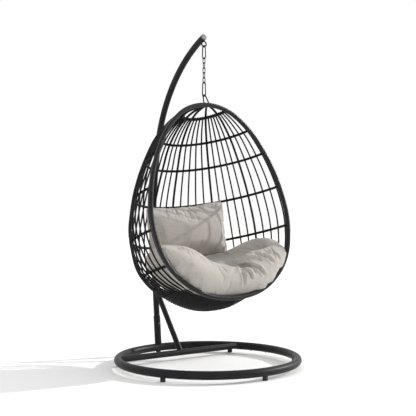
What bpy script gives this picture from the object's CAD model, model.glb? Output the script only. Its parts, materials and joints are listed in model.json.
import json
from math import asin, atan2, cos, degrees, hypot, pi, radians, sin, sqrt

import bpy
import numpy as np
from mathutils import Matrix, Vector


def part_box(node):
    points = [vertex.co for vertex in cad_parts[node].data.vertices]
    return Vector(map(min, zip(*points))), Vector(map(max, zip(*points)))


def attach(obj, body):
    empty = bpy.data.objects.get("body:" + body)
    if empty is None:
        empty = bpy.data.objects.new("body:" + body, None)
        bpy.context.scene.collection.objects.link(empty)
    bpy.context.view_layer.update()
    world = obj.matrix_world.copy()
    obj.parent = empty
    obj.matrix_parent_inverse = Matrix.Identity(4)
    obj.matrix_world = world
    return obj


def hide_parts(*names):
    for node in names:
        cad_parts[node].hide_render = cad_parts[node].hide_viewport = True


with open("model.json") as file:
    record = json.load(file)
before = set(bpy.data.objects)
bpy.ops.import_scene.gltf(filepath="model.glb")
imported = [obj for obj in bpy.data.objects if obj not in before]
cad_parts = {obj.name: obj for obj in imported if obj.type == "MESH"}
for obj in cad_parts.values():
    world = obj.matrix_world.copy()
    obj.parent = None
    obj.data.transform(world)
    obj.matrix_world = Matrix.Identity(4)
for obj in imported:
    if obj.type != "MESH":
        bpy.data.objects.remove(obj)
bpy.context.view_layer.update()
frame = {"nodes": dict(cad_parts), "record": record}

# Metres. +Z is up, the mouth of the basket looks along -Y, the pole stands at +Y.
# The basket's own axis runs down from the apex of its rim and leans forward at the bottom.
TILT = radians(13.37)
APEX = Vector((0, -0.01599, 1.5646))
DOWN = Vector((0, -sin(TILT), -cos(TILT)))
BACK = Vector((0, cos(TILT), -sin(TILT)))
SIDE = Vector((1, 0, 0))

# Each hoop: how far down the axis it lies, its half width and how deep its back is
HOOPS = (
    (0.024, 0.131, 0.190),
    (0.143, 0.292, 0.372),
    (0.285, 0.387, 0.475),
    (0.496, 0.4685, 0.600),
    (0.742, 0.4925, 0.690),
    (0.956, 0.425, 0.680),
    (1.084, 0.294, 0.563),
)
WIDEST = 4
BOTTOM = 1.162
BELLY = 0.051
RIM_R = 0.0135
THIN_RIB_R = 0.005
MAIN_RIB_R = 0.007
TOP_HOOP_R = 0.009
HOOP_R = 0.0075
WELD = 0.0008
RIB_APEX_R = 0.014
MAIN_RIBS = (0.147, 0.297, 0.456, 0.544, 0.703, 0.853)
THIN_RIBS_PER_BAY = (4, 4, 4, 2, 4, 4, 4)
FIRST_RIB = 0.014
# How much of the way to the bottom's middle a rib runs on under the weave, and in how many steps
UNDER_WEAVE = 0.93
UNDER_STEPS = 14
# How far inside the rim's surface the ends of the hoops stop
END_IN_RIM = 0.0015


# ---- shape of the basket ----

def outward(angle):
    """The direction away from the basket's axis, 0 at the +X side of the rim, 90 degrees at the back."""
    return SIDE * cos(angle) + BACK * sin(angle)


def shell_point(level, angle, radius):
    return APEX + DOWN * level + outward(angle) * radius


def hoop_radius(half_width, depth, angle):
    return half_width * depth / hypot(depth * cos(angle), half_width * sin(angle))


def tangents(knots, first=None, last=None):
    """The direction at each knot: that of the circle through it and its neighbours."""
    chords = [b - a for a, b in zip(knots, knots[1:])]
    inner = []
    for a, b in zip(chords, chords[1:]):
        inner.append((a * (b.length / a.length) + b * (a.length / b.length)).normalized())
    start = chords[0].normalized()
    end = chords[-1].normalized()
    first = first or start * (2 * start.dot(inner[0])) - inner[0]
    last = last or end * (2 * end.dot(inner[-1])) - inner[-1]
    return [first, *inner, last]


def arc_points(p0, t0, p1, count):
    """Points along the arc that leaves p0 along t0 and ends at p1, without p1 itself."""
    chord = p1 - p0
    side = Vector((-t0.y, t0.x))
    across = chord.dot(side)
    if abs(across) < 1e-9:
        return [p0 + chord * (n / count) for n in range(count)]
    radius = chord.length_squared / (2 * across)
    turn = 2 * atan2(across, chord.dot(t0))
    points = []
    for n in range(count):
        a = turn * n / count
        points.append(p0 + t0 * (radius * sin(a)) + side * (radius * (1 - cos(a))))
    return points


def smooth_points(knots, directions, step):
    """Points along pairs of tangent arcs through the knots, about step apart."""
    points = []
    for p0, p1, t0, t1 in zip(knots, knots[1:], directions, directions[1:]):
        chord = p1 - p0
        gap = 2 * (1 - t0.dot(t1))
        along = chord.dot(t0 + t1)
        if gap < 1e-9:
            reach = chord.length_squared / (4 * chord.dot(t1))
        else:
            reach = (sqrt(along * along + gap * chord.length_squared) - along) / gap
        leave, arrive = p0 + t0 * reach, p1 - t1 * reach
        middle = (leave + arrive) / 2
        count = max(2, round((middle - p0).length / step))
        points += arc_points(p0, t0, middle, count)
        count = max(2, round((p1 - middle).length / step))
        points += arc_points(middle, (arrive - leave).normalized(), p1, count)
    return points + [knots[-1]]


def rib_knots(angle):
    return [Vector((hoop_radius(w, b, angle), level)) for level, w, b in HOOPS]


def rib_points(angle, from_apex, step):
    """A rib's line down to the lowest hoop and on under the weave to near the bottom's middle."""
    knots = rib_knots(angle)
    first = None
    if from_apex:
        knots.insert(0, Vector((RIB_APEX_R, 0.0)))
        first = Vector((1, 0))
    flat = smooth_points(knots, tangents(knots, first), step)
    edge = knots[-1].x
    for n in range(1, UNDER_STEPS + 1):
        share = 1 - n / UNDER_STEPS * UNDER_WEAVE
        flat.append(Vector((edge * share, bottom_level(angle, share))))
    return [shell_point(p.y, angle, p.x) for p in flat]


def bottom_level(angle, share):
    """How far down the axis the bottom lies, share being 1 at the lowest hoop and 0 at its middle."""
    level = HOOPS[-1][0]
    bowl = (BOTTOM - level) * (1 - share ** 2)
    belly = BELLY * sin(angle) ** 2 * 4 * share * (1 - share)
    return level + bowl + belly


def angle_round_hoop(part):
    """The angle at which this part of the widest hoop's length has been passed."""
    half_width, depth = HOOPS[WIDEST][1:]
    steps = 720
    middles = (np.arange(steps) + 0.5) * pi / steps
    lengths = np.cumsum(np.hypot(half_width * np.sin(middles), depth * np.cos(middles)))
    turn = (np.searchsorted(lengths, part * lengths[-1]) + 1) * pi / steps
    return atan2(depth * sin(turn), half_width * cos(turn))


def thin_ribs_by_bay():
    """The places of the thin ribs, evenly spaced in each bay between two main ribs."""
    first_step = (MAIN_RIBS[0] - FIRST_RIB) / THIN_RIBS_PER_BAY[0]
    first = [FIRST_RIB + k * first_step for k in range(THIN_RIBS_PER_BAY[0])]
    bays = [first]
    for low, high, count in zip(MAIN_RIBS, MAIN_RIBS[1:], THIN_RIBS_PER_BAY[1:]):
        step = (high - low) / (count + 1)
        bays.append([low + (k + 1) * step for k in range(count)])
    bays.append([1 - place for place in reversed(first)])
    return bays


def slope_at(number):
    """How the shell leans at a hoop, in radians: positive where it widens downwards."""
    leans = []
    for angle in (0, pi / 2):
        direction = tangents(rib_knots(angle))[number]
        leans.append(atan2(direction.x, direction.y))
    return sum(leans) / 2


def hoop_points(number, steps):
    level, half_width, depth = HOOPS[number]
    radius = TOP_HOOP_R if number == 0 else HOOP_R
    lean = slope_at(number)
    inset = THIN_RIB_R + radius - WELD
    level = level + inset * sin(lean)
    half_width, depth = half_width - inset * cos(lean), depth - inset * cos(lean)
    start = asin((RIM_R - END_IN_RIM) / depth)
    turns = np.linspace(start, pi - start, steps)
    centre = APEX + DOWN * level
    return [centre + SIDE * (half_width * cos(t)) + BACK * (depth * sin(t)) for t in turns]


def rim_points(step):
    knots = [Vector((0, 0))] + [Vector((w, level)) for level, w, _ in HOOPS] + [Vector((0, BOTTOM))]
    right = smooth_points(knots, tangents(knots, Vector((1, 0)), Vector((-1, 0))), step)
    flat = right + [Vector((-p.x, p.y)) for p in reversed(right[1:-1])]
    return [APEX + DOWN * p.y + SIDE * p.x for p in flat]


# ---- tubes and strands ----

def as_array(points):
    return np.array([tuple(p) for p in points])


def directions_along(points, closed):
    if closed:
        ahead, behind = np.roll(points, -1, axis=0), np.roll(points, 1, axis=0)
    else:
        ahead = np.vstack([points[1:], points[-1:]])
        behind = np.vstack([points[:1], points[:-1]])
    along = ahead - behind
    return along / np.linalg.norm(along, axis=1, keepdims=True)


def mesh_object(name, points, faces, uvs=None):
    mesh = bpy.data.meshes.new(name)
    mesh.from_pydata([tuple(p) for p in points], [], [tuple(f) for f in faces])
    if uvs is not None:
        layer = mesh.uv_layers.new(name="UVMap")
        layer.data.foreach_set("uv", np.asarray(uvs, dtype=np.float32).ravel())
    mesh.polygons.foreach_set("use_smooth", [True] * len(mesh.polygons))
    mesh.update()
    made = bpy.data.objects.new(name, mesh)
    bpy.context.scene.collection.objects.link(made)
    return made


# How thick an open strand is at its two ends, as a part of its thickness elsewhere
END_TAPER = 0.6


class Strands:
    """Gathers tubes into one mesh. Each tube has u along its length and v round it, both in metres."""

    def __init__(self):
        self.points = []
        self.faces = []
        self.uvs = []
        self.count = 0

    def tube(self, line, radius, sides, up, closed=False, pitch=0.0, relief=0.0, flat=1.0):
        """A tube along line. up is a direction that is never along it. pitch and relief are those of
        the strand wound round it, and flat squeezes it along up."""
        line = np.asarray(line)
        along = directions_along(line, closed)
        side = np.cross(along, np.broadcast_to(up, line.shape))
        side /= np.linalg.norm(side, axis=1, keepdims=True)
        above = np.cross(side, along)
        steps = np.linalg.norm(np.diff(line, axis=0), axis=1)
        length = np.concatenate([[0.0], np.cumsum(steps)])
        total = length[-1] + (np.linalg.norm(line[0] - line[-1]) if closed else 0.0)
        turns = np.arange(sides) / sides
        r = np.full((len(line), sides), radius)
        if relief:
            if closed:
                pitch = total / round(total / pitch)
            phase = length[:, None] / pitch + turns[None, :]
            r = r - relief * (1 - np.abs(np.sin(pi * phase)) ** 0.6)
        if not closed:
            r[0] *= END_TAPER
            r[-1] *= END_TAPER
        a = 2 * pi * turns
        ring = side[:, None, :] * np.cos(a)[None, :, None]
        ring = ring + above[:, None, :] * (flat * np.sin(a))[None, :, None]
        points = line[:, None, :] + ring * r[:, :, None]
        rows = len(line)
        spans = rows if closed else rows - 1
        i = np.arange(spans)[:, None]
        k = np.arange(sides)[None, :]
        after, beside = (i + 1) % rows, (k + 1) % sides
        here, ahead = i * sides, after * sides
        quads = np.stack([here + k, here + beside, ahead + beside, ahead + k], axis=-1)
        self.faces.append(quads.reshape(-1, 4) + self.count)
        u0 = length[:spans, None] + 0 * k
        u1 = np.append(length, total)[1:spans + 1, None] + 0 * k
        v0 = (turns * 2 * pi * radius)[None, :] + 0 * i
        v1 = v0 + 2 * pi * radius / sides
        corners = [np.stack(c, axis=-1) for c in ((u0, v0), (u0, v1), (u1, v1), (u1, v0))]
        self.uvs.append(np.stack(corners, axis=-2).reshape(-1, 2))
        self.points.append(points.reshape(-1, 3))
        self.count += rows * sides
        if not closed:
            first, last = self.count - rows * sides, self.count - sides
            self.close_end(list(range(first, first + sides))[::-1])
            self.close_end(list(range(last, self.count)))

    def close_end(self, ring):
        middle = len(ring) // 2
        for n in range(middle - 1):
            quad = (ring[n], ring[n + 1], ring[-n - 2], ring[-n - 1])
            self.faces.append(np.array([quad]))
            self.uvs.append(np.zeros((4, 2)))

    def finish(self, name, material, body, slot, *nodes):
        made = mesh_object(name, np.vstack(self.points), np.vstack(self.faces), np.vstack(self.uvs))
        made.data.materials.append(material)
        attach(made, body)
        if nodes:
            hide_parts(*nodes)
        return made


# ---- materials ----

class Nodes:
    """Makes and links the nodes of one node tree."""

    def __init__(self, tree):
        self.tree = tree

    def node(self, kind, **settings):
        made = self.tree.nodes.new(kind)
        for key, value in settings.items():
            setattr(made, key, value)
        return made

    def link(self, start, end):
        self.tree.links.new(start, end)

    def coordinates(self, kind="Object", scale=(1, 1, 1)):
        source = self.node("ShaderNodeTexCoord").outputs[kind]
        mapping = self.node("ShaderNodeMapping")
        mapping.inputs["Scale"].default_value = scale
        self.link(source, mapping.inputs["Vector"])
        return mapping.outputs["Vector"]

    def noise(self, vector, scale, detail=4.0, roughness=0.6):
        made = self.node("ShaderNodeTexNoise")
        made.inputs["Scale"].default_value = scale
        made.inputs["Detail"].default_value = detail
        made.inputs["Roughness"].default_value = roughness
        self.link(vector, made.inputs["Vector"])
        return made.outputs["Fac"]

    def math(self, operation, a, b):
        made = self.node("ShaderNodeMath", operation=operation)
        for socket, value in zip(made.inputs, (a, b)):
            if isinstance(value, (int, float)):
                socket.default_value = value
            else:
                self.link(value, socket)
        return made.outputs["Value"]

    def ramp(self, value, stops):
        """A colour or grey ramp. stops are (place, colour)."""
        made = self.node("ShaderNodeValToRGB")
        elements = made.color_ramp.elements
        while len(elements) < len(stops):
            elements.new(0.5)
        for element, (place, colour) in zip(elements, stops):
            element.position = place
            element.color = (*colour, 1)
        self.link(value, made.inputs["Fac"])
        return made.outputs["Color"]

    def span(self, value, low, high):
        """value from 0 to 1 turned to run from low to high."""
        made = self.node("ShaderNodeMapRange")
        made.inputs["To Min"].default_value = low
        made.inputs["To Max"].default_value = high
        self.link(value, made.inputs["Value"])
        return made.outputs["Result"]

    def mix(self, factor, a, b):
        made = self.node("ShaderNodeMix", data_type="RGBA")
        if isinstance(factor, float):
            made.inputs["Factor"].default_value = factor
        else:
            self.link(factor, made.inputs["Factor"])
        for socket, colour in ((made.inputs["A"], a), (made.inputs["B"], b)):
            if isinstance(colour, tuple):
                socket.default_value = (*colour, 1)
            else:
                self.link(colour, socket)
        return made.outputs["Result"]

    def bump(self, height, distance, strength=1.0, under=None):
        made = self.node("ShaderNodeBump")
        made.inputs["Distance"].default_value = distance
        made.inputs["Strength"].default_value = strength
        self.link(height, made.inputs["Height"])
        if under is not None:
            self.link(under, made.inputs["Normal"])
        return made.outputs["Normal"]


class Shader(Nodes):
    """A node-based material round one Principled BSDF."""

    def __init__(self, name):
        self.material = bpy.data.materials.new(name)
        self.material.use_nodes = True
        super().__init__(self.material.node_tree)
        self.shader = self.tree.nodes["Principled BSDF"]

    def set(self, **values):
        for key, value in values.items():
            socket = self.shader.inputs[key.replace("_", " ")]
            if isinstance(value, bpy.types.NodeSocket):
                self.link(value, socket)
            else:
                socket.default_value = value
        return self.material


def powder_coat(name, dark, light):
    """Baked powder paint: a fine orange-peel skin, duller where it is scuffed."""
    s = Shader(name)
    at = s.coordinates()
    clouds = s.noise(at, 9.0, 5.0)
    skin = s.noise(at, 1500.0, 2.0)
    peel = s.noise(at, 260.0, 3.0)
    colour = s.ramp(clouds, ((0.3, dark), (0.7, light)))
    fleck = s.ramp(skin, ((0.62, (0, 0, 0)), (0.74, (1, 1, 1))))
    colour = s.mix(s.span(fleck, 0.0, 0.05), colour, (0.30, 0.30, 0.31))
    rough = s.span(clouds, 0.36, 0.56)
    normal = s.bump(peel, 0.00025, 0.5, s.bump(skin, 0.00012, 0.8))
    return s.set(Base_Color=colour, Roughness=rough, Normal=normal, Specular_IOR_Level=0.18)


def steel(name, dark, light, roughness):
    """Dark galvanised steel with fine drawing lines and dull spots."""
    s = Shader(name)
    at = s.coordinates()
    spots = s.noise(at, 240.0, 5.0)
    lines = s.noise(s.coordinates(scale=(900, 900, 120)), 1.0, 3.0)
    colour = s.ramp(spots, ((0.3, dark), (0.7, light)))
    rough = s.span(spots, roughness - 0.1, roughness + 0.12)
    normal = s.bump(lines, 0.00008, 0.6)
    return s.set(Base_Color=colour, Roughness=rough, Normal=normal, Metallic=0.9)


def moulded(name, dark, light, roughness):
    """Moulded plastic or rubber with a fine spark-eroded grain."""
    s = Shader(name)
    at = s.coordinates()
    grain = s.noise(at, 1900.0, 2.0)
    dust = s.noise(at, 45.0, 6.0)
    colour = s.ramp(dust, ((0.35, dark), (0.75, light)))
    rough = s.span(dust, roughness - 0.08, roughness + 0.1)
    return s.set(Base_Color=colour, Roughness=rough, Normal=s.bump(grain, 0.0001, 0.7))


# How many noise cells of the fibres there are in a metre round a strand
FIBRE_SCALE = 5200.0


def wicker(name, dark, light, roughness, gloss):
    """Near-black synthetic strand: streaks along the strand, a soft sheen and dust in the grooves."""
    s = Shader(name)
    streaks = s.noise(s.coordinates("UV", (FIBRE_SCALE * 0.05, FIBRE_SCALE, 1)), 1.0, 4.0)
    clouds = s.noise(s.coordinates(), 14.0, 4.0)
    colour = s.mix(s.span(clouds, 0.0, 0.6), s.ramp(streaks, ((0.3, dark), (0.7, light))), dark)
    rough = s.math("ADD", s.span(streaks, roughness - 0.08, roughness + 0.08), s.span(clouds, -0.04, 0.04))
    normal = s.bump(streaks, 0.0002, 0.6)
    return s.set(Base_Color=colour, Roughness=rough, Normal=normal, Specular_IOR_Level=gloss)


# How high the thread that passes under shows beside the one on top
UNDER_THREAD = 0.55


def fabric(name, thread):
    """Plain-woven outdoor cloth. UVs are in metres; thread is the width of one thread."""
    s = Shader(name)
    at = s.coordinates("UV", (1 / thread, 1 / thread, 1))
    split = s.node("ShaderNodeSeparateXYZ")
    s.link(at, split.inputs["Vector"])
    warp, weft = (s.math("ABSOLUTE", s.math("SINE", s.math("MULTIPLY", split.outputs[axis], pi), 0.0), 0.0)
                  for axis in ("X", "Y"))
    over = s.node("ShaderNodeTexChecker")
    over.inputs["Scale"].default_value = 1.0
    s.link(at, over.inputs["Vector"])
    warp_up = s.math("MAXIMUM", warp, s.math("MULTIPLY", weft, UNDER_THREAD))
    weft_up = s.math("MAXIMUM", weft, s.math("MULTIPLY", warp, UNDER_THREAD))
    height = s.math("ADD", s.math("MULTIPLY", over.outputs["Fac"], warp_up),
                    s.math("MULTIPLY", s.math("SUBTRACT", 1.0, over.outputs["Fac"]), weft_up))
    slubs = s.noise(s.coordinates("UV", (60, 900, 1)), 1.0, 3.0)
    cross_slubs = s.noise(s.coordinates("UV", (900, 60, 1)), 1.0, 3.0)
    clouds = s.noise(s.coordinates(), 5.0, 4.0)
    fuzz = s.noise(s.coordinates(), 2400.0, 2.0)
    tone = s.math("ADD", s.math("MULTIPLY", slubs, 0.5), s.math("MULTIPLY", cross_slubs, 0.5))
    yarn = s.ramp(tone, ((0.36, (0.428, 0.398, 0.364)), (0.64, (0.508, 0.477, 0.440))))
    shade = s.ramp(height, ((0.15, (0.78, 0.78, 0.78)), (0.75, (1, 1, 1))))
    tinted = s.node("ShaderNodeMix", data_type="RGBA", blend_type="MULTIPLY")
    tinted.inputs["Factor"].default_value = 1.0
    s.link(yarn, tinted.inputs["A"])
    s.link(shade, tinted.inputs["B"])
    colour = s.mix(s.span(clouds, 0.0, 0.22), tinted.outputs["Result"], (0.385, 0.350, 0.310))
    rough = s.span(clouds, 0.84, 0.95)
    normal = s.bump(height, thread * 0.35, 0.7, s.bump(fuzz, 0.0003, 0.35))
    return s.set(Base_Color=colour, Roughness=rough, Normal=normal,
                 Sheen_Weight=0.25, Sheen_Roughness=0.5, Specular_IOR_Level=0.25)


# ---- basket pieces ----

def all_ribs():
    """Every rib: (the node it belongs to, its angle, whether it is a thick one that starts at the apex)."""
    ribs = []
    for n, place in enumerate(MAIN_RIBS, 1):
        ribs.append((f"main_rib_{n}", angle_round_hoop(place), True))
    for n, places in enumerate(thin_ribs_by_bay(), 1):
        ribs += [(f"thin_ribs_{n}", angle_round_hoop(place), False) for place in places]
    return ribs


def make_rim(material):
    strands = Strands()
    line = as_array(rim_points(0.0018))
    strands.tube(line, RIM_R, 28, tuple(BACK), closed=True, pitch=0.0085, relief=0.0007)
    return strands.finish("rim_wound_tube", material, "basket", "rim_wicker", "rim")


def make_hoop(number, material):
    strands = Strands()
    radius = TOP_HOOP_R if number == 0 else HOOP_R
    length = pi * (HOOPS[number][1] + HOOPS[number][2]) / 2
    line = as_array(hoop_points(number, round(length / 0.00125)))
    strands.tube(line, radius + 0.0004, 14, tuple(DOWN), pitch=0.0052, relief=0.0008)
    return strands.finish(f"hoop_{number + 1}_wound", material, "basket", "wicker", f"hoop_{number + 1}")


def make_ribs(material):
    groups = {}
    for node, angle, thick in all_ribs():
        strands = groups.setdefault(node, Strands())
        line = as_array(rib_points(angle, thick, 0.0022 if thick else 0.003))
        up = tuple(outward(angle).cross(DOWN))
        if thick:
            strands.tube(line, MAIN_RIB_R, 12, up, pitch=0.009, relief=0.0006)
        else:
            strands.tube(line, THIN_RIB_R, 10, up, pitch=0.012, relief=0.0003)
    return [strands.finish(f"{node}_strands", material, "basket", "wicker", node)
            for node, strands in groups.items()]


WEFT_ROUNDS = 62
WEFT_R = 0.0034
WEFT_FLAT = 0.62
WEFT_INNER_SHARE = 0.05
WEFT_STEPS = 6


def weft_line(number, angles):
    """One round of the woven bottom, over and under the ribs in turn, from rim to rim."""
    share = 1 - (number + 0.5) / WEFT_ROUNDS * (1 - WEFT_INNER_SHARE)
    stops = [0.0, *angles, pi]
    line = []
    reach = THIN_RIB_R + WEFT_R * WEFT_FLAT
    for n, (low, high) in enumerate(zip(stops, stops[1:])):
        for k in range(WEFT_STEPS):
            part = k / WEFT_STEPS
            angle = low + (high - low) * part
            wave = cos(pi * part) * (1 if (n + number) % 2 else -1)
            if n == 0:
                wave *= part
            if n == len(stops) - 2:
                wave *= 1 - part
            line.append(weft_point(angle, share, wave * reach))
    line.append(weft_point(pi, share, 0.0))
    return np.array(line)


def weft_point(angle, share, out):
    edge = hoop_radius(*HOOPS[-1][1:], angle)
    level = bottom_level(angle, share)
    step = 0.01
    slope = (level - bottom_level(angle, share + step)) / (step * edge)
    normal = Vector((slope, 1)).normalized() * out
    return tuple(shell_point(level + normal.y, angle, share * edge + normal.x))


def make_weave(material):
    strands = Strands()
    angles = sorted(angle for _, angle, _ in all_ribs())
    for number in range(WEFT_ROUNDS):
        strands.tube(weft_line(number, angles), WEFT_R, 8, tuple(DOWN), flat=WEFT_FLAT)
    return strands.finish("bottom_weave_strands", material, "basket", "wicker", "bottom_weave")


# ---- cushions ----

# Sections of the seat pad: level, half width, how deep its back is, and how far its front stands out
SEAT_SECTIONS = np.array((
    (0.760, 0.463, 0.578, 0.014),
    (0.820, 0.461, 0.566, 0.024),
    (0.910, 0.434, 0.544, 0.028),
    (1.000, 0.384, 0.518, 0.028),
    (1.080, 0.296, 0.470, 0.022),
    (1.122, 0.218, 0.410, 0.014),
    (1.150, 0.125, 0.330, 0.005),
))
SEAT_MIDDLE = 0.235
SEAT_SPOKES = 120
SEAT_VOXEL = 0.0058
SEAT_FOOT = 1.150
SEAT_WAIST = 1.000
SEAT_FLOOR = 0.925
FLOOR_SLOPE = 0.17
# Round the pad, in degrees from the +X side with the front at -90: level of its top edge, and thickness there
SEAT_EDGE = np.array((
    (-178, 0.835, 0.130),
    (-165, 0.828, 0.140),
    (-152, 0.832, 0.160),
    (-145, 0.848, 0.180),
    (-135, 0.892, 0.190),
    (-120, 0.942, 0.185),
    (-104, 0.966, 0.175),
    (-90, 0.984, 0.170),
    (-77, 1.004, 0.160),
    (-66, 1.012, 0.150),
    (-56, 0.936, 0.150),
    (-48, 0.908, 0.165),
    (-38, 0.896, 0.170),
    (-30, 0.882, 0.160),
    (-24, 0.824, 0.130),
    (-16, 0.796, 0.120),
    (0, 0.792, 0.115),
    (16, 0.818, 0.110),
    (28, 0.852, 0.105),
    (50, 0.862, 0.100),
    (90, 0.866, 0.100),
    (130, 0.860, 0.105),
    (155, 0.848, 0.120),
))


def round_the_pad(column, angle):
    """A column of SEAT_EDGE at an angle in degrees, eased over a few degrees."""
    near = np.array([-6, -3, 0, 3, 6])
    values = np.interp((angle + near + 180) % 360 - 180, SEAT_EDGE[:, 0], SEAT_EDGE[:, column], period=360)
    return float(values.mean())


def pad_radius(level, angle):
    """How far the pad's outside lies from its own middle line."""
    half_width, depth, front = (np.interp(level, SEAT_SECTIONS[:, 0], SEAT_SECTIONS[:, n])
                                for n in (1, 2, 3))
    low, high = 0.0, 1.0
    for _ in range(22):
        middle = (low + high) / 2
        across = abs(middle * cos(angle)) / half_width
        back = SEAT_MIDDLE + middle * sin(angle)
        if back > 0:
            inside = across ** 2 + (back / depth) ** 2 < 1
        else:
            inside = across ** 5 + (back / front) ** 2 < 1
        if inside:
            low = middle
        else:
            high = middle
    return low


def pad_point(radius, level, angle):
    return APEX + DOWN * level + BACK * (SEAT_MIDDLE + radius * sin(angle)) + SIDE * (radius * cos(angle))


def eased(corners, rounds=3):
    """Cuts the corners of an open line."""
    for _ in range(rounds):
        cut = [corners[0]]
        for a, b in zip(corners, corners[1:]):
            cut += [a * 0.75 + b * 0.25, a * 0.25 + b * 0.75]
        corners = cut + [corners[-1]]
    return corners


def pad_profile(degrees_round):
    """The pad's section from the middle of its underside, over its edge, to the middle of its top."""
    angle = radians(degrees_round)
    top = round_the_pad(1, degrees_round)
    thick = round_the_pad(2, degrees_round)
    corners = [(0.0, SEAT_FOOT), (pad_radius(SEAT_FOOT, angle) * 0.8, SEAT_FOOT)]
    corners += [(pad_radius(level, angle), level) for level in (1.122, 1.080, SEAT_WAIST)]
    for below in (0.06, 0.02):
        level = min(top + below, SEAT_WAIST - 0.02)
        corners.append((pad_radius(level, angle), level))
    outer = pad_radius(top, angle)
    corners.append((outer - thick * 0.22, top - 0.012))
    corners.append((outer - thick * 0.72, top - 0.012))
    inner = outer - thick
    floor = SEAT_FLOOR - FLOOR_SLOPE * inner * sin(angle)
    corners.append((inner, top + 0.35 * (floor - top)))
    corners.append((inner - 0.03, top + 0.9 * (floor - top)))
    corners.append((inner * 0.5, SEAT_FLOOR - FLOOR_SLOPE * inner * sin(angle) * 0.5 + 0.006))
    corners.append((0.0, SEAT_FLOOR))
    return eased([Vector(c) for c in corners])


def pad_shape():
    """The seat pad's closed shape before it is swollen, as points and faces."""
    points = []
    for n in range(SEAT_SPOKES):
        turn = 360 * n / SEAT_SPOKES - 180
        line = pad_profile(turn)
        points += [tuple(pad_point(p.x, p.y, radians(turn))) for p in line[1:-1]]
    rows = len(line) - 2
    points += [tuple(pad_point(0, line[0].y, 0)), tuple(pad_point(0, line[-1].y, 0))]
    faces = []
    for n in range(SEAT_SPOKES):
        here, ahead = n * rows, (n + 1) % SEAT_SPOKES * rows
        faces += [(here + k, ahead + k, ahead + k + 1, here + k + 1) for k in range(rows - 1)]
        faces.append((len(points) - 2, ahead, here))
        faces.append((len(points) - 1, here + rows - 1, ahead + rows - 1))
    return points, faces


def evaluated(piece):
    """Puts the result of the piece's modifiers into its mesh and clears them."""
    graph = bpy.context.evaluated_depsgraph_get()
    mesh = bpy.data.meshes.new_from_object(piece.evaluated_get(graph))
    piece.modifiers.clear()
    old = piece.data
    piece.data = mesh
    bpy.data.meshes.remove(old)


def remeshed(piece, size):
    modifier = piece.modifiers.new("Remesh", "REMESH")
    modifier.mode = "VOXEL"
    modifier.voxel_size = size
    modifier.use_smooth_shade = True
    evaluated(piece)


def subdivided(piece):
    piece.modifiers.new("Subdivision", "SUBSURF").levels = 1
    evaluated(piece)


def coordinates_of(mesh):
    values = np.empty(len(mesh.vertices) * 3, dtype=np.float32)
    mesh.vertices.foreach_get("co", values)
    return values.reshape(-1, 3).astype(float)


def normals_of(mesh):
    values = np.empty(len(mesh.vertices) * 3, dtype=np.float32)
    mesh.vertex_normals.foreach_get("vector", values)
    return values.reshape(-1, 3).astype(float)


def put_coordinates(mesh, points):
    mesh.vertices.foreach_set("co", points.astype(np.float32).ravel())
    mesh.update()


SWELL_FRAMES = 20
# How far the cloth of the seat pad may swell where it is free and where the basket holds it
FREE_REACH = 0.024
HELD_REACH = 0.003


def swell(piece, pins, reach, pressure, slack):
    """Blows the piece up as cloth. pins is how firmly each point is held, from 0 to 1, and reach is
    how far it may move."""
    start = coordinates_of(piece.data)
    group = piece.vertex_groups.new(name="held")
    for index in np.flatnonzero(pins > 0.02):
        group.add([int(index)], float(pins[index]), "REPLACE")
    cloth = piece.modifiers.new("Cloth", "CLOTH")
    settings = cloth.settings
    settings.quality = 5
    settings.mass = 0.3
    settings.tension_stiffness = 12
    settings.compression_stiffness = 12
    settings.shear_stiffness = 6
    settings.bending_stiffness = 0.35
    settings.vertex_group_mass = "held"
    settings.use_pressure = True
    settings.uniform_pressure_force = pressure
    settings.shrink_min = -slack
    settings.effector_weights.gravity = 0
    cloth.collision_settings.use_collision = False
    cloth.collision_settings.use_self_collision = False
    cloth.point_cache.frame_start = 1
    cloth.point_cache.frame_end = SWELL_FRAMES
    scene = bpy.context.scene
    for number in range(1, SWELL_FRAMES + 1):
        scene.frame_set(number)
    evaluated(piece)
    scene.frame_set(1)
    piece.vertex_groups.clear()
    moved = coordinates_of(piece.data) - start
    far = np.linalg.norm(moved, axis=1, keepdims=True)
    limit = reach[:, None]
    put_coordinates(piece.data, start + moved * np.minimum(1.0, limit / np.maximum(far, 1e-9)))


def distance_to_line(points, line):
    """How far each point lies from a line of points, and how far along it, from 0 to 1."""
    best = np.full(len(points), 1e9)
    along = np.zeros(len(points))
    spans = len(line) - 1
    for n, (a, b) in enumerate(zip(line, line[1:])):
        run = b - a
        t = np.clip(((points - a) @ run) / (run @ run), 0, 1)
        d = np.linalg.norm(points - a - t[:, None] * run, axis=1)
        closer = d < best
        best[closer] = d[closer]
        along[closer] = (n + t[closer]) / spans
    return best, along


def basket_frame(points):
    """(across, behind the rim, level) of points."""
    local = points - np.array(APEX)
    return np.column_stack([local @ np.array(SIDE), local @ np.array(BACK), local @ np.array(DOWN)])


# Folds of the seat pad as lines of (across, behind the rim, level): the fold under the right wing, and
# the pinch near the middle of the front edge
WING_FOLD = np.array((
    (0.080, 0.150, 0.955),
    (0.163, 0.120, 0.908),
    (0.250, 0.120, 0.880),
    (0.320, 0.100, 0.872),
    (0.375, 0.060, 0.886),
    (0.410, 0.015, 0.915),
))
PINCH = np.array((
    (0.020, 0.190, 0.955),
    (0.062, 0.110, 0.962),
    (0.074, 0.045, 0.975),
    (0.068, -0.005, 0.995),
))
WING_FOLD_DEPTH = 0.030
PINCH_DEPTH = 0.032
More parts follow.
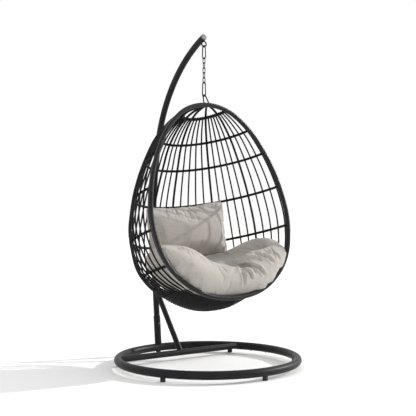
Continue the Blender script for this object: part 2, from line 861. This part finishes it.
# Creases that run out of the pinch over the front face, as (across, level) with their depth and width
CREASES = (
    (((0.062, 0.996), (0.128, 0.976), (0.184, 1.002), (0.216, 1.052)), 0.0190, 0.0095),
    (((0.058, 1.000), (0.102, 1.028), (0.116, 1.070)), 0.0165, 0.0090),
    (((0.046, 1.006), (0.058, 1.048), (0.056, 1.100)), 0.0120, 0.0090),
    (((0.050, 0.996), (0.010, 1.004), (-0.030, 1.022)), 0.0060, 0.0100),
    (((0.100, 0.985), (0.140, 1.002), (0.150, 1.036)), 0.0110, 0.0085),
    (((0.215, 0.908), (0.272, 0.936), (0.306, 0.980)), 0.0120, 0.0105),
    (((0.150, 0.935), (0.196, 0.940), (0.238, 0.965)), 0.0080, 0.0110),
    (((0.175, 0.905), (0.225, 0.918), (0.262, 0.946)), 0.0065, 0.0100),
    (((0.318, 0.898), (0.350, 0.925), (0.356, 0.970)), 0.0070, 0.0100),
)
# How far across each gather of the front edge starts
GATHERS_LEFT = (-0.330, -0.306, -0.283, -0.262, -0.236, -0.214, -0.188, -0.160, -0.128, -0.096, -0.066)
GATHERS_RIGHT = (0.128, 0.150, 0.205, 0.232, 0.262, 0.290, 0.316, 0.345)
# How far behind the rim the creases reach, and how far behind it the ridge of the front roll lies
FRONT = 0.13
RIDGE_BACK = 0.045
# How far the right-hand roll bulges over the rim
OVER_THE_RIM = 0.018


def folded(piece):
    """Presses the two big folds into the pad and returns how firmly each point is held there."""
    points = coordinates_of(piece.data)
    normals = normals_of(piece.data)
    place = basket_frame(points)
    held = np.zeros(len(points))
    for line, depth in ((WING_FOLD, WING_FOLD_DEPTH), (PINCH, PINCH_DEPTH)):
        d, along = distance_to_line(place, line)
        fade = np.minimum(1, 2.5 * (1 - along))
        wide = np.exp(-(d / 0.045) ** 2)
        narrow = np.exp(-(d / 0.016) ** 2)
        points -= normals * ((wide * 0.45 + narrow * 0.55) * depth * fade)[:, None]
        held = np.maximum(held, (d < 0.012) * fade)
    put_coordinates(piece.data, points)
    return held


def creased(piece):
    """Adds the small creases and gathers that pull the cloth in at its folds and along its seam."""
    points = coordinates_of(piece.data)
    normals = normals_of(piece.data)
    place = basket_frame(points)
    facing = np.clip((FRONT - place[:, 1]) / 0.03, 0, 1)
    flat = place[:, [0, 2]]
    shift = np.zeros(len(points))
    for line, depth, width in CREASES:
        d, along = distance_to_line(flat, np.array(line))
        fade = np.sin(np.clip(along * 0.9 + 0.1, 0, 1) * pi) ** 0.7
        groove = np.exp(-(d / width) ** 2) - 0.45 * np.exp(-((d - 1.9 * width) / width) ** 2)
        shift -= depth * groove * fade * facing
    for n, across in enumerate((*GATHERS_LEFT, *GATHERS_RIGHT)):
        top = round_the_pad(1, degrees_at(across))
        start = np.array((across, top + 0.006))
        run = np.array((0.010 if n % 3 else -0.006, 0.036 + 0.012 * ((n * 7) % 4)))
        d, along = distance_to_line(flat, np.array((start, start + run)))
        fade = np.sin(along * pi) + 0.15
        shift -= (0.0058 if across > 0 else 0.0046) * np.exp(-(d / 0.0062) ** 2) * fade * facing
    put_coordinates(piece.data, points + normals * shift[:, None])


def pushed_over_the_rim(piece):
    """Lets the front of the right-hand roll bulge outwards until it hides the gap beside the rim."""
    points = coordinates_of(piece.data)
    place = basket_frame(points)
    rightwards = np.clip((place[:, 0] - 0.14) / 0.12, 0, 1)
    forwards = np.clip((0.03 - place[:, 1]) / 0.04, 0, 1)
    away = place[:, [0, 2]] - np.array((0.0, 0.76))
    away /= np.linalg.norm(away, axis=1, keepdims=True)
    direction = away[:, :1] * np.array(SIDE) + away[:, 1:] * np.array(DOWN)
    points += (OVER_THE_RIM * (rightwards * forwards))[:, None] * direction
    put_coordinates(piece.data, points)


def degrees_at(across):
    """The angle round the pad of the point this far across on the ridge of its front roll."""
    return degrees(atan2(RIDGE_BACK - SEAT_MIDDLE, across))


def box_uvs(piece, axes):
    """UVs in metres, from whichever of the three axes each face looks along."""
    mesh = piece.data
    points = coordinates_of(mesh) @ axes.T
    loops = np.empty(len(mesh.loops), dtype=np.int32)
    mesh.loops.foreach_get("vertex_index", loops)
    normals = np.empty(len(mesh.polygons) * 3, dtype=np.float32)
    mesh.polygons.foreach_get("normal", normals)
    main = np.abs(normals.reshape(-1, 3) @ axes.T).argmax(axis=1)
    sizes = np.empty(len(mesh.polygons), dtype=np.int32)
    mesh.polygons.foreach_get("loop_total", sizes)
    per_loop = np.repeat(main, sizes)
    others = np.array(((1, 2), (0, 2), (0, 1)))[per_loop]
    rows = np.arange(len(loops))
    uvs = np.column_stack([points[loops][rows, others[:, 0]], points[loops][rows, others[:, 1]]])
    layer = mesh.uv_layers[0] if mesh.uv_layers else mesh.uv_layers.new(name="UVMap")
    layer.data.foreach_set("uv", uvs.astype(np.float32).ravel())


def dressed(piece, material, node):
    piece.data.materials.clear()
    piece.data.materials.append(material)
    piece.data.polygons.foreach_set("use_smooth", [True] * len(piece.data.polygons))
    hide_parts(node)
    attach(piece, "basket")
    return piece


def against_the_ribs(place):
    """How firmly the basket holds the pad at each place, from 0 to 1."""
    step = 0.02
    angles = np.radians(np.arange(-180, 181, 4))
    levels = np.arange(0.76, 1.16, step)
    table = np.array([[pad_radius(level, angle) for angle in angles] for level in levels])
    turn = (np.arctan2(place[:, 1] - SEAT_MIDDLE, place[:, 0]) - angles[0]) / (angles[1] - angles[0])
    row = np.clip((place[:, 2] - levels[0]) / step, 0, len(levels) - 1.001)
    i, k = row.astype(int), np.minimum(turn.astype(int), len(angles) - 2)
    s, t = row - i, turn - k
    outside = (table[i, k] * (1 - t) + table[i, k + 1] * t) * (1 - s)
    outside += (table[i + 1, k] * (1 - t) + table[i + 1, k + 1] * t) * s
    gap = outside - np.hypot(place[:, 0], place[:, 1] - SEAT_MIDDLE)
    below = np.clip((place[:, 2] - 1.06) / 0.05, 0, 1)
    near = np.maximum(1 - np.clip(gap / 0.05, 0, 1), below)
    return near * np.clip((place[:, 1] + 0.005) / 0.06, 0, 1)


def make_seat_pad(material):
    piece = mesh_object("seat_pad", *pad_shape())
    remeshed(piece, SEAT_VOXEL)
    held = folded(piece)
    place = basket_frame(coordinates_of(piece.data))
    reach = FREE_REACH - (FREE_REACH - HELD_REACH) * against_the_ribs(place)
    swell(piece, held, reach, pressure=4.0, slack=0.03)
    subdivided(piece)
    pushed_over_the_rim(piece)
    creased(piece)
    box_uvs(piece, np.array([tuple(SIDE), tuple(BACK), tuple(DOWN)]))
    return dressed(piece, material, "seat_cushion")


# Width and height of the pillow before its sides pull in
PILLOW = (0.600, 0.372)
PILLOW_VOXEL = 0.0052
PILLOW_THICK = 0.165
# Creases in the pillow's front as lines of (across, up), with their depth
PILLOW_CREASES = (
    (((-0.070, 0.170), (-0.088, 0.130), (-0.092, 0.090)), 0.0050),
    (((-0.035, 0.168), (-0.030, 0.125), (-0.036, 0.085)), 0.0060),
    (((0.010, 0.168), (0.036, 0.138), (0.052, 0.100)), 0.0050),
    (((0.070, 0.172), (0.105, 0.152), (0.130, 0.120)), 0.0055),
    (((0.280, 0.060), (0.240, 0.045), (0.205, 0.040)), 0.0045),
    (((0.282, -0.010), (0.245, -0.022), (0.210, -0.020)), 0.0045),
    (((0.282, -0.080), (0.240, -0.080), (0.200, -0.068)), 0.0050),
)
PILLOW_LEAN = radians(5.0)
PILLOW_TWIST = radians(-4.0)


def pillow_middle():
    low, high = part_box("back_pillow")
    return (Vector(low) + Vector(high)) / 2


def pillow_axes():
    """The pillow's own axes as rows: across, through its thickness, and up."""
    turn = Matrix.Rotation(-PILLOW_LEAN, 3, "X") @ Matrix.Rotation(PILLOW_TWIST, 3, "Y")
    return np.array(turn.transposed())


def pillow_shape():
    """A knife-edged pillow: two faces that meet at the seam, with sides that pull in between the corners."""
    across, up = 56, 38
    points, faces = [], []
    index = {}
    for side in (-1, 1):
        for i in range(across + 1):
            for k in range(up + 1):
                u, v = 2 * i / across - 1, 2 * k / up - 1
                edge = i in (0, across) or k in (0, up)
                if edge and side == 1:
                    index[side, i, k] = index[-1, i, k]
                    continue
                pull_u, pull_v = 1 - 0.050 * (1 - v * v), 1 - 0.130 * (1 - u * u)
                cut = 1 - 0.070 * (u * v) ** 4
                pull_u, pull_v = pull_u * cut, pull_v * cut
                body = (1 - abs(u) ** 2.4) * (1 - abs(v) ** 2.4)
                index[side, i, k] = len(points)
                points.append((PILLOW[0] / 2 * u * pull_u, side * (0.42 * PILLOW_THICK * body ** 0.55),
                               PILLOW[1] / 2 * v * pull_v))
        for i in range(across):
            for k in range(up):
                corners = ((i, k), (i + 1, k), (i + 1, k + 1), (i, k + 1))
                quad = [index[side, *corner] for corner in corners]
                faces.append(quad if side == -1 else quad[::-1])
    return points, faces


def make_pillow(material):
    piece = mesh_object("back_pillow_cover", *pillow_shape())
    remeshed(piece, PILLOW_VOXEL)
    points = coordinates_of(piece.data)
    edge = np.exp(-(points[:, 1] / 0.006) ** 2)
    swell(piece, (edge > 0.6) * 0.25, np.full(len(points), 0.026), pressure=3.2, slack=0.035)
    subdivided(piece)
    points = coordinates_of(piece.data)
    normals = normals_of(piece.data)
    turn = np.arctan2(points[:, 2] / PILLOW[1], points[:, 0] / PILLOW[0])
    outward_part = 1 - np.abs(normals[:, 1])
    seam = np.exp(-(points[:, 1] / 0.0028) ** 2) * outward_part
    beside = np.exp(-((np.abs(points[:, 1]) - 0.011) / 0.004) ** 2) * outward_part
    pucker = 0.6 + 0.4 * np.sin(46 * turn + 2.2 * np.sin(5 * turn))
    shift = 0.0045 * seam - 0.0028 * beside * pucker
    for line, depth in PILLOW_CREASES:
        d, along = distance_to_line(points[:, [0, 2]], np.array(line))
        shift -= depth * np.exp(-(d / 0.008) ** 2) * np.sin(along * pi) * (points[:, 1] < 0)
    points += normals * shift[:, None]
    axes = pillow_axes()
    bent = points.copy()
    bent[:, 1] -= 0.14 * points[:, 0] ** 2 - 0.004
    put_coordinates(piece.data, bent @ axes + np.array(pillow_middle()))
    box_uvs(piece, axes)
    return dressed(piece, material, "back_pillow")


# ---- CAD pieces that keep their shape ----

def coat(node, material):
    piece = frame["nodes"][node]
    piece.data.materials.clear()
    piece.data.materials.append(material)


def finish_cad_pieces():
    paint = powder_coat("charcoal_powder_coat", (0.009, 0.0093, 0.010), (0.016, 0.0165, 0.0178))
    grey = moulded("grey_plastic", (0.20, 0.20, 0.205), (0.27, 0.27, 0.275), 0.5)
    rubber = moulded("black_rubber", (0.012, 0.012, 0.012), (0.024, 0.024, 0.024), 0.75)
    zinc = steel("dark_zinc", (0.10, 0.10, 0.105), (0.20, 0.20, 0.20), 0.42)
    chain = steel("dark_chain_steel", (0.055, 0.055, 0.058), (0.12, 0.12, 0.122), 0.40)
    black = powder_coat("black_powder_coat", (0.006, 0.006, 0.0065), (0.012, 0.012, 0.0125))
    by_slot = {
        "stand_paint": paint,
        "end_cap": grey,
        "rubber_feet": rubber,
        "zinc_fastener": zinc,
        "chain_steel": chain,
        "basket_steel": black,
    }
    for part in frame["record"]["subparts"]:
        if part["material_slot"] in by_slot:
            coat(part["node"], by_slot[part["material_slot"]])


# ---- floor, lights and camera ----

def matt(name, colour, roughness):
    s = Shader(name)
    grain = s.noise(s.coordinates(), 35.0, 5.0)
    light = tuple(min(1.0, c * 1.02) for c in colour)
    return s.set(Base_Color=s.ramp(grain, ((0.3, colour), (0.7, light))), Roughness=roughness)


def make_floor():
    half = 14.0
    corners = [(-half, -half, 0), (half, -half, 0), (half, half, 0), (-half, half, 0)]
    floor = mesh_object("studio_floor", corners, [(0, 1, 2, 3)])
    floor.data.materials.append(matt("pale_floor", (0.93, 0.93, 0.93), 0.9))


def aimed(obj, place, target):
    obj.location = place
    obj.rotation_euler = (Vector(target) - Vector(place)).to_track_quat("-Z", "Y").to_euler()


def add_light(name, kind, place, target, energy, size, colour=(1, 1, 1)):
    light = bpy.data.lights.new(name, kind)
    light.energy = energy
    light.color = colour
    if kind == "SUN":
        light.angle = size
    else:
        light.size = size
    made = bpy.data.objects.new(name, light)
    bpy.context.scene.collection.objects.link(made)
    aimed(made, place, target)


# The studio is brightest towards this direction, and its light runs from DIM to BRIGHT
BRIGHT_SIDE = (0.80, 0.41, 0.44)
DIM = 0.60
BRIGHT = 1.02
SUN_FROM = (6.1, -1.56, 3.1)
SUN_STRENGTH = 2.7
SUN_ANGLE = radians(1.6)


def light_studio():
    """Pale all round, brightest behind the chair and on its right, with a low sun from the right."""
    world = bpy.data.worlds.new("studio")
    world.use_nodes = True
    n = Nodes(world.node_tree)
    background = n.tree.nodes["Background"]
    background.inputs["Strength"].default_value = 1.0
    towards = n.node("ShaderNodeVectorMath", operation="DOT_PRODUCT")
    towards.inputs[1].default_value = BRIGHT_SIDE
    n.link(n.node("ShaderNodeTexCoord").outputs["Generated"], towards.inputs[0])
    brightness = n.node("ShaderNodeMapRange", interpolation_type="SMOOTHSTEP")
    for socket, value in (("From Min", -0.7), ("From Max", 0.55), ("To Min", DIM), ("To Max", BRIGHT)):
        brightness.inputs[socket].default_value = value
    n.link(towards.outputs["Value"], brightness.inputs["Value"])
    # The camera itself sees plain white
    seen = n.node("ShaderNodeLightPath").outputs["Is Camera Ray"]
    backdrop = n.mix(seen, brightness.outputs["Result"], (1.0, 1.0, 1.0))
    n.link(backdrop, background.inputs["Color"])
    bpy.context.scene.world = world
    middle = Vector((0, 0, 0.8))
    add_light("key_sun", "SUN", middle + Vector(SUN_FROM), middle, SUN_STRENGTH, SUN_ANGLE, (1, 0.99, 0.97))
    add_light("side_strip", "AREA", (-4.2, -1.6, 1.8), middle, 12, 0.25)
    bpy.context.scene.view_settings.view_transform = "Standard"


CAMERA_AT = (-3.4445, -4.6927, 1.0486)
CAMERA_TURN = radians(-36.443)
CAMERA_DOWN = radians(0.984)
CAMERA_LENS = 84.08


def add_camera():
    data = bpy.data.cameras.new("camera")
    data.lens = CAMERA_LENS
    data.sensor_width = 36
    data.clip_end = 60
    camera = bpy.data.objects.new("camera", data)
    camera.location = CAMERA_AT
    camera.rotation_euler = (pi / 2 - CAMERA_DOWN, 0, CAMERA_TURN)
    bpy.context.scene.collection.objects.link(camera)
    bpy.context.scene.camera = camera


# ---- the whole chair ----

def make_basket():
    rim_strand = wicker("rim_strand", (0.006, 0.006, 0.006), (0.015, 0.015, 0.0155), 0.30, 0.28)
    strand = wicker("rib_strand", (0.004, 0.004, 0.004), (0.010, 0.010, 0.010), 0.45, 0.14)
    make_rim(rim_strand)
    for number in range(len(HOOPS)):
        make_hoop(number, strand)
    make_ribs(strand)
    make_weave(strand)


def make_cushions():
    cloth = fabric("woven_cloth", 0.0011)
    make_seat_pad(cloth)
    make_pillow(cloth)


add_camera()
make_floor()
light_studio()
finish_cad_pieces()
make_basket()
make_cushions()
